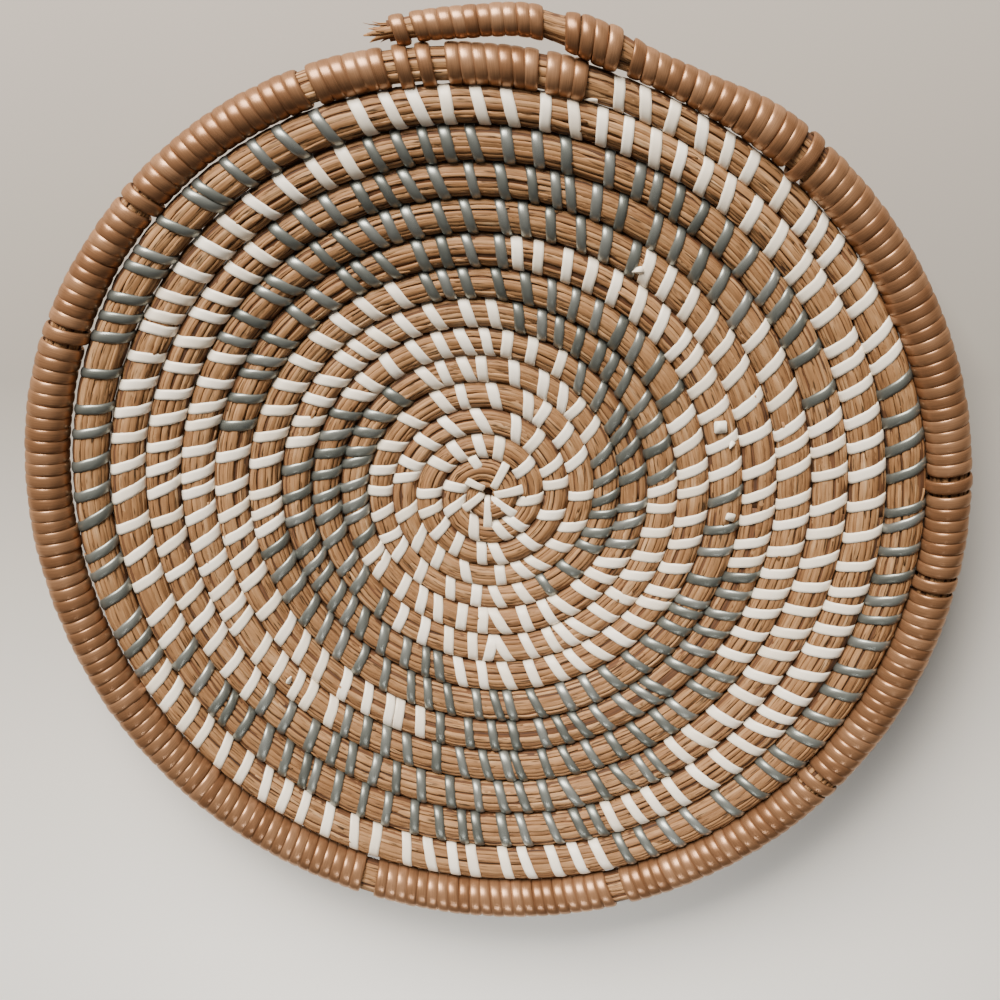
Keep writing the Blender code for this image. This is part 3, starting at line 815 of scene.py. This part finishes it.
# GREY CORD STITCHES
# Soft flattened cord of silver-grey plastic film, about four millimetres wide and rounder than the
# strip, sewn the same way. Metal flake in the film gives a long soft glint on each stitch.
CORD_WIDTH = 4.5 * MM
CORD_THICKNESS = 1.0 * MM
CORD_WIDTH_SHARES = (0.88, 1.06)
CORD_SECTION = (
    (-1.0, 0.0), (-0.9, 0.5), (-0.55, 0.85), (0.0, 1.0), (0.55, 0.85), (0.9, 0.5), (1.0, 0.0),
    (0.0, -0.25),
)

# Plastic film with metal flake in it: mostly metallic, but as rough as its creases, which gives one
# long soft glint along each stitch and a dark body. The creases are 0.5 mm wide and 8 mm long.
grey, grey_surface = strip_material(
    "silver-grey plastic cord", ((0.0, "#6A6E69"), (0.5, "#7E827D"), (1.0, "#939692")),
    streaks_per_mm=(0.12, 2.2, 1.0), bump_strength=0.3, bump_depth=0.15 * MM,
)
grey_surface.inputs["Metallic"].default_value = 0.7
grey_surface.inputs["Roughness"].default_value = 0.38
grey_surface.inputs["IOR"].default_value = 1.49

# White and grey are sewn in one pass from the middle outwards, each pulled a little wider or narrower
stitch_draw = random.Random(23)
white_groups = {0: [
    start_loop(*ends, STRIP_SECTION, STRIP_THICKNESS, stitch_draw) for ends in START_STRIPS
]}
grey_groups = {}
for turn, cord, lean in stitches:
    if cord == WHITE:
        groups, section, thickness = white_groups, STRIP_SECTION, STRIP_THICKNESS
        width = STRIP_WIDTH * stitch_draw.uniform(*STRIP_WIDTH_SHARES)
    else:
        groups, section, thickness = grey_groups, CORD_SECTION, CORD_THICKNESS
        width = CORD_WIDTH * stitch_draw.uniform(*CORD_WIDTH_SHARES)
    loop = stitch_loop(turn, lean, section, width, thickness, stitch_draw)
    groups.setdefault(int(turn) + 1, []).append(loop)
for label, groups, material in (("white", white_groups, white), ("grey", grey_groups, grey)):
    for group, loops in groups.items():
        new_piece(f"{label}_stitches_turn_{group:02d}", *join(loops), material)


# LOOSE ENDS
# Where a strip ran out and the next one starts, a torn end of it sticks out of the grass: a thin flat
# bit of the same polypropylene, lying on the bundle.
# Turn, degrees, the section's angle, length, width, its turning, its rise and its tip's share of the
# width, with lengths in millimetres
LOOSE_STRIPS = (
    (8, 19.9, 84, 5.2, 5.2, 14, 0.35, 1.0), (8, 15.0, 62, 3.4, 2.2, -40, 0.5, 0.4),
    (7, 357.6, 72, 4.0, 3.4, 15, 0.3, 0.9), (9, 58.8, 102, 4.6, 3.0, 40, 0.1, 0.2),
    (13, 76.4, 136, 5.0, 2.6, 80, 0.1, 0.1), (9, 222.6, 95, 3.8, 2.0, -20, 0.3, 0.3),
)
LOOSE_THICKNESS = 0.35 * MM
LOOSE_FIRST_NUMBER = 7000


def loose_bit(turn, degrees, angle, length, width, turning, rise, tip, seed):
    """A thin flat bit on the bundle: its outline at two heights, its tip lifted."""
    turn, angle, turning = turn + degrees / 360, math.radians(angle), math.radians(turning)
    _, across, up, along = (value[0] for value in bundle_place(np.array([turn])))
    normal = across * math.cos(angle) + up * math.sin(angle)
    around = up * math.cos(angle) - across * math.sin(angle)
    middle = section_point(np.array([turn]), np.array([angle]), LOOSE_THICKNESS)[0]
    ahead = around * math.cos(turning) + along * math.sin(turning)
    aside = np.cross(normal, ahead)
    outline = np.array((
        (-1, -0.7), (-0.8, -1), (0, -1), (0.8, -tip), (1, -0.7 * tip), (1, 0.7 * tip), (0.8, tip), (0, 1),
        (-0.8, 1), (-1, 0.7),
    ))
    forth, aslant = outline[:, 0] * length / 2, outline[:, 1] * width / 2
    lifted = rise * MM * ((outline[:, 0] + 1) / 2) ** 2
    flat = middle + np.outer(forth * MM, ahead) + np.outer(aslant * MM, aside)
    rings = [flat + np.outer(height + lifted, normal) for height in (0, LOOSE_THICKNESS)]
    lay = lay_marks(forth, aslant, seed)
    return np.concatenate(rings), tube_faces(2, len(outline)), np.concatenate([lay, lay])


bits = [loose_bit(*bit, LOOSE_FIRST_NUMBER + number) for number, bit in enumerate(LOOSE_STRIPS)]
new_piece("loose_strip_ends", *join(bits), white)


# BRONZE RIM BINDING
# Pearlescent bronze plastic strip, wound closely round the last turn in separate lengths. Each wrap
# laps the one before it and stands up as a soft rib, so the film's mica gives a bright band.
BOUND_STRETCHES = (
    (77.6, 82.4), (83.5, 94.3), (101.7, 110.4), (111.7, 134.4), (137.1, 153.8), (156.6, 181.7),
    (184.8, 205.8), (208.8, 222.9), (225.7, 251.9), (254, 287.5), (289.7, 318.8), (321.5, 350.3),
    (353, 363.6), (366.4, 386.9), (389.6, 408.6), (411.8, 433.2), (434.7, 441), (443.6, 457.6),
)
# Ties between the stretches: middle, and the number of wraps side by side
SINGLE_WRAPS = (
    (96.9, 1), (99.6, 1), (135.6, 1), (155.1, 1), (183.2, 2), (207.3, 2), (224.3, 2), (320.1, 1),
    (351.7, 1), (365, 1), (388.3, 2), (410.2, 1), (459.2, 1),
)
WRAP_PITCH = 4.8 * MM
WRAP_WIDTH = 5.3 * MM
WRAP_THICKNESS = 0.8 * MM
WRAP_SLANT = 0.8 * MM
WRAP_SLANT_SHARES = (0.5, 1.3)
WRAP_WOBBLE = 0.25 * MM
WRAP_RISE = (-0.15 * MM, 0.12 * MM)
WRAP_SEGMENTS = 40
WRAP_RADIUS = 8 * MM
TIE_SLACK = 0.15 * MM
TIE_REACH_IN = 0.8 * MM
WRAP_SECTION = (
    (-1.0, -0.35), (-0.95, 0.2), (-0.8, 0.62), (-0.45, 0.9), (0.05, 1.0), (0.5, 0.93), (0.82, 0.68),
    (0.96, 0.22), (1.0, -0.35), (0.0, -0.5),
)


def wrap_ring(turn, draw, slack=0.0, reach_in=0.0):
    """One wrap round the rim's bundle, upright whatever the wall's slope."""
    angles = np.arange(WRAP_SEGMENTS) * math.tau / WRAP_SEGMENTS
    across = np.array([place for place, _ in WRAP_SECTION]) * WRAP_WIDTH / 2
    height = np.array([rise for _, rise in WRAP_SECTION]) * WRAP_THICKNESS
    slant = WRAP_SLANT * draw.uniform(*WRAP_SLANT_SHARES)
    wobble = draw.uniform(-WRAP_WOBBLE, WRAP_WOBBLE)
    run = math.tau * float(centre_radius(turn))
    ahead = slant * np.cos(angles) + wobble * np.sin(angles)
    ring_turn = turn + (ahead[:, None] + across) / run
    centre, out, _, _ = bundle_place(ring_turn)
    out = out * (1, 1, 0)
    out = out / np.linalg.norm(out, axis=-1, keepdims=True)
    outside = bound_radius(ring_turn) - WRAP_THICKNESS + slack
    radius = outside + height + draw.uniform(*WRAP_RISE)
    dip = reach_in * np.clip(-np.cos(angles), 0, 1)[:, None] ** 2
    points = centre + out * ((radius + dip) * np.cos(angles)[:, None])[..., None]
    points[..., 2] += radius * np.sin(angles)[:, None]
    lay = lay_marks(angles[:, None] * WRAP_RADIUS / MM, across / MM, draw.randrange(1, 9999))
    return points.reshape(-1, 3), tube_faces(WRAP_SEGMENTS, len(across), closed=True), lay


# Plastic strip filled with pearly bronze mica: half metallic and smooth under a thin clear skin, which
# gives a warm band of light across each wrap. The tints warm that light, since mica colours what it
# reflects. The mica's flow lines are made 0.4 mm wide and 11 mm long, coarser than real ones, to show.
bronze, bronze_surface = strip_material(
    "pearl bronze plastic strip", ((0.0, "#7E5A40"), (0.5, "#8F6B4F"), (1.0, "#A27C5F")),
    streaks_per_mm=(0.09, 2.6, 1.0), bump_strength=0.25, bump_depth=0.12 * MM,
    streak_stops=((0.25, 0.72), (0.75, 1.12)),
)
bronze_surface.inputs["Metallic"].default_value = 0.5
bronze_surface.inputs["Roughness"].default_value = 0.34
bronze_surface.inputs["IOR"].default_value = 1.49
bronze_surface.inputs["Specular Tint"].default_value = linear("#FFD9AE")
bronze_surface.inputs["Coat Weight"].default_value = 0.3
bronze_surface.inputs["Coat Roughness"].default_value = 0.28
bronze_surface.inputs["Coat Tint"].default_value = linear("#FFF0D8")

wrap_draw = random.Random(31)
for number, (first, last) in enumerate(BOUND_STRETCHES, 1):
    start, end = SEWN_TURNS + first / 360, SEWN_TURNS + last / 360
    length = math.tau * float(centre_radius((start + end) / 2)) * (end - start)
    count = max(1, round(length / WRAP_PITCH))
    pitch = (end - start) / count
    rings = [wrap_ring(start + pitch * (wrap + 0.5), wrap_draw) for wrap in range(count)]
    piece = new_piece(f"bronze_binding_{number:02d}", *join(rings), bronze, "bronze_strip")
    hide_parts(f"rim_binding_{number:02d}")
for number, (middle, count) in enumerate(SINGLE_WRAPS, 1):
    turn = SEWN_TURNS + middle / 360
    step = float(turns_ahead(turn, WRAP_PITCH))
    rings = [
        wrap_ring(turn + (wrap - (count - 1) / 2) * step, wrap_draw, TIE_SLACK, TIE_REACH_IN)
        for wrap in range(count)
    ]
    piece = new_piece(f"bronze_tie_{number:02d}", *join(rings), bronze, "bronze_strip")
    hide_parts(f"rim_wrap_{number:02d}")


# FRAYED TAIL
# The bundle's cut end outside the rim. Past the last tie nothing holds the dried blades together, so
# they stick out by different lengths, spread and taper.
TAIL_BLADES = 22
TAIL_BLADE_LENGTHS = (3 * MM, 9 * MM)
TAIL_HALF_WIDTHS = (0.6 * MM, 1.3 * MM)
TAIL_ROOT_SHARE = 0.6
TAIL_FILL_SHARE = 0.9
TAIL_SPREAD = 0.35
TAIL_TAPER_FROM = 1.15
TAIL_TIP_SHARE = 0.2
TAIL_BLADE_TURN = 1.4
TAIL_STEPS = 7
TAIL_PATTERN_SHIFT = (23, 5)
TAIL_FIRST_NUMBER = 5000
TAIL_SECTION = ((-1, 0), (-0.3, 0.35), (0.5, 0.3), (1, 0), (0.3, -0.3), (-0.5, -0.3))
tail_draw = random.Random(5)
tail_centre, tail_out, tail_up, tail_along = (value[0] for value in bundle_place(np.array([CUT_TURN])))
tail_parts = []
for number in range(TAIL_BLADES):
    angle = tail_draw.uniform(0, math.tau)
    from_middle = math.sqrt(tail_draw.random()) * TAIL_FILL_SHARE
    place = (tail_out * math.cos(angle) + tail_up * math.sin(angle)) * TAIL_CORE_RADIUS * from_middle
    length = tail_draw.uniform(*TAIL_BLADE_LENGTHS)
    steps = np.linspace(-TAIL_ROOT_SHARE, 1, TAIL_STEPS)
    path = tail_centre + place + np.outer(steps * length, tail_along)
    path = path + np.outer(np.maximum(steps, 0) ** 2 * length, place / TAIL_CORE_RADIUS * TAIL_SPREAD)
    half_width = tail_draw.uniform(*TAIL_HALF_WIDTHS)
    turned = angle + TAIL_BLADE_TURN
    flat = tail_out * math.cos(turned) + tail_up * math.sin(turned)
    thick = np.cross(flat, tail_along)
    taper = half_width * np.clip(TAIL_TAPER_FROM - np.maximum(steps, 0) ** 2, TAIL_TIP_SHARE, 1)
    sides = [
        path + np.outer(taper * wide, flat) + np.outer(taper * high, thick) for wide, high in TAIL_SECTION
    ]
    points = np.stack(sides, 1)
    lay = lay_marks(
        (steps * length / MM)[:, None] + number * TAIL_PATTERN_SHIFT[0],
        np.array([wide for wide, _ in TAIL_SECTION]) * PATTERN_SPREAD + number * TAIL_PATTERN_SHIFT[1],
        TAIL_FIRST_NUMBER + number,
    )
    tail_parts.append((points.reshape(-1, 3), tube_faces(TAIL_STEPS, len(TAIL_SECTION)), lay))
tail = new_piece("frayed_tail", *join(tail_parts), grass)
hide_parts(*(f"tail_blade_{number}" for number in range(1, 6)))


# FLOOR, LIGHT AND CAMERA
# The basket lies on a sheet of pale matt paper. One broad window-like light comes from beyond it and
# a little from the left, with a weak fill from above and a soft glow on the paper in front.
FLOOR_SIZE = 6
PAPER_FROM, PAPER_TO = -0.24, 0.24
bpy.ops.mesh.primitive_plane_add(size=FLOOR_SIZE)
floor = bpy.context.object
floor.name = "floor"
# Uncoated paper: rough all over, which gives no highlight. Its colour carries painted light and
# shade: whiter towards the front as painted light, darkest a little behind the basket's middle as
# painted shade, and a little lighter again towards the back.
paper, paper_tree, paper_surface = new_material("pale paper")
paper_place = add_node(paper_tree, "ShaderNodeNewGeometry")
paper_parts = add_node(
    paper_tree, "ShaderNodeSeparateXYZ", links={"Vector": paper_place.outputs["Position"]}
)
paper_share = add_node(
    paper_tree, "ShaderNodeMapRange", inputs={"From Min": PAPER_FROM, "From Max": PAPER_TO},
    links={"Value": paper_parts.outputs["Y"]},
)
# Painted light in front and painted shade round the basket's middle, as a colour ramp along the paper
paper_painted_light_and_shade = add_node(
    paper_tree, "ShaderNodeValToRGB", links={"Fac": paper_share.outputs["Result"]},
    stops=((0.0, "#F8F6F2"), (0.2, "#E8E5E0"), (0.6, "#9D9993"), (1.0, "#AEA8A2")),
)
paper_tree.links.new(paper_painted_light_and_shade.outputs["Color"], paper_surface.inputs["Base Color"])
paper_surface.inputs["Roughness"].default_value = 0.9
floor.data.materials.append(paper)

# The photograph's view: its tilt and turn, its scale and distance, and the pixel of the middle
TILT = math.radians(18.6)
TURN = math.radians(-2.85)
PHOTO_WIDTH = 1000
MM_PER_PIXEL = 0.43
DISTANCE_PIXELS = 1190
AIM_HEIGHT = 3.8 * MM
SENSOR_WIDTH = 36
CENTRE_PIXEL = (486.3, 493.7)
back = Vector((-math.sin(TURN) * math.sin(TILT), math.cos(TURN) * math.sin(TILT), math.cos(TILT)))
level = Vector((math.cos(TURN), math.sin(TURN), 0))
steep = Vector((-math.sin(TURN) * math.cos(TILT), math.cos(TURN) * math.cos(TILT), -math.sin(TILT)))
right = level * math.cos(TURN) - steep * math.sin(TURN)
top = level * math.sin(TURN) + steep * math.cos(TURN)
eye = Vector((*SPIRAL_CENTRE, AIM_HEIGHT)) + back * DISTANCE_PIXELS * MM_PER_PIXEL * MM
camera_data = bpy.data.cameras.new("camera")
camera_data.sensor_width = SENSOR_WIDTH
camera_data.lens = SENSOR_WIDTH * DISTANCE_PIXELS / PHOTO_WIDTH
camera_data.shift_x = (PHOTO_WIDTH / 2 - CENTRE_PIXEL[0]) / PHOTO_WIDTH
camera_data.shift_y = (CENTRE_PIXEL[1] - PHOTO_WIDTH / 2) / PHOTO_WIDTH
camera = bpy.data.objects.new("camera", camera_data)
camera.matrix_world = Matrix.Translation(eye) @ Matrix((right, top, back)).transposed().to_4x4()
bpy.context.scene.collection.objects.link(camera)
bpy.context.scene.camera = camera


def add_lamp(name, kind, place, aim, power, colour, **settings):
    lamp = bpy.data.lights.new(name, kind)
    lamp.energy = power
    lamp.color = linear(colour)[:3]
    for label, value in settings.items():
        setattr(lamp, label, value)
    lamp_object = bpy.data.objects.new(name, lamp)
    lamp_object.location = place
    lamp_object.rotation_euler = (Vector(aim) - Vector(place)).to_track_quat("-Z", "Y").to_euler()
    bpy.context.scene.collection.objects.link(lamp_object)


add_lamp("window light", "AREA", (-0.52, 1.4, 0.93), (0, 0, 0), 110, "#FFF7EC", shape="SQUARE", size=1.0)
add_lamp("room fill", "AREA", (0.3, 0.3, 1.9), (0, 0, 0), 2.5, "#FFFCF6", shape="SQUARE", size=1.8)
add_lamp(
    "front glow", "SPOT", (0, -0.75, 0.75), (0, -0.42, 0), 44, "#FFFCF6",
    spot_size=math.radians(40), spot_blend=1.0, shadow_soft_size=0.2,
)
world = bpy.data.worlds.new("room")
world.use_nodes = True
world.node_tree.nodes["Background"].inputs["Color"].default_value = linear("#E8E6E4")
world.node_tree.nodes["Background"].inputs["Strength"].default_value = 0.13
bpy.context.scene.world = world
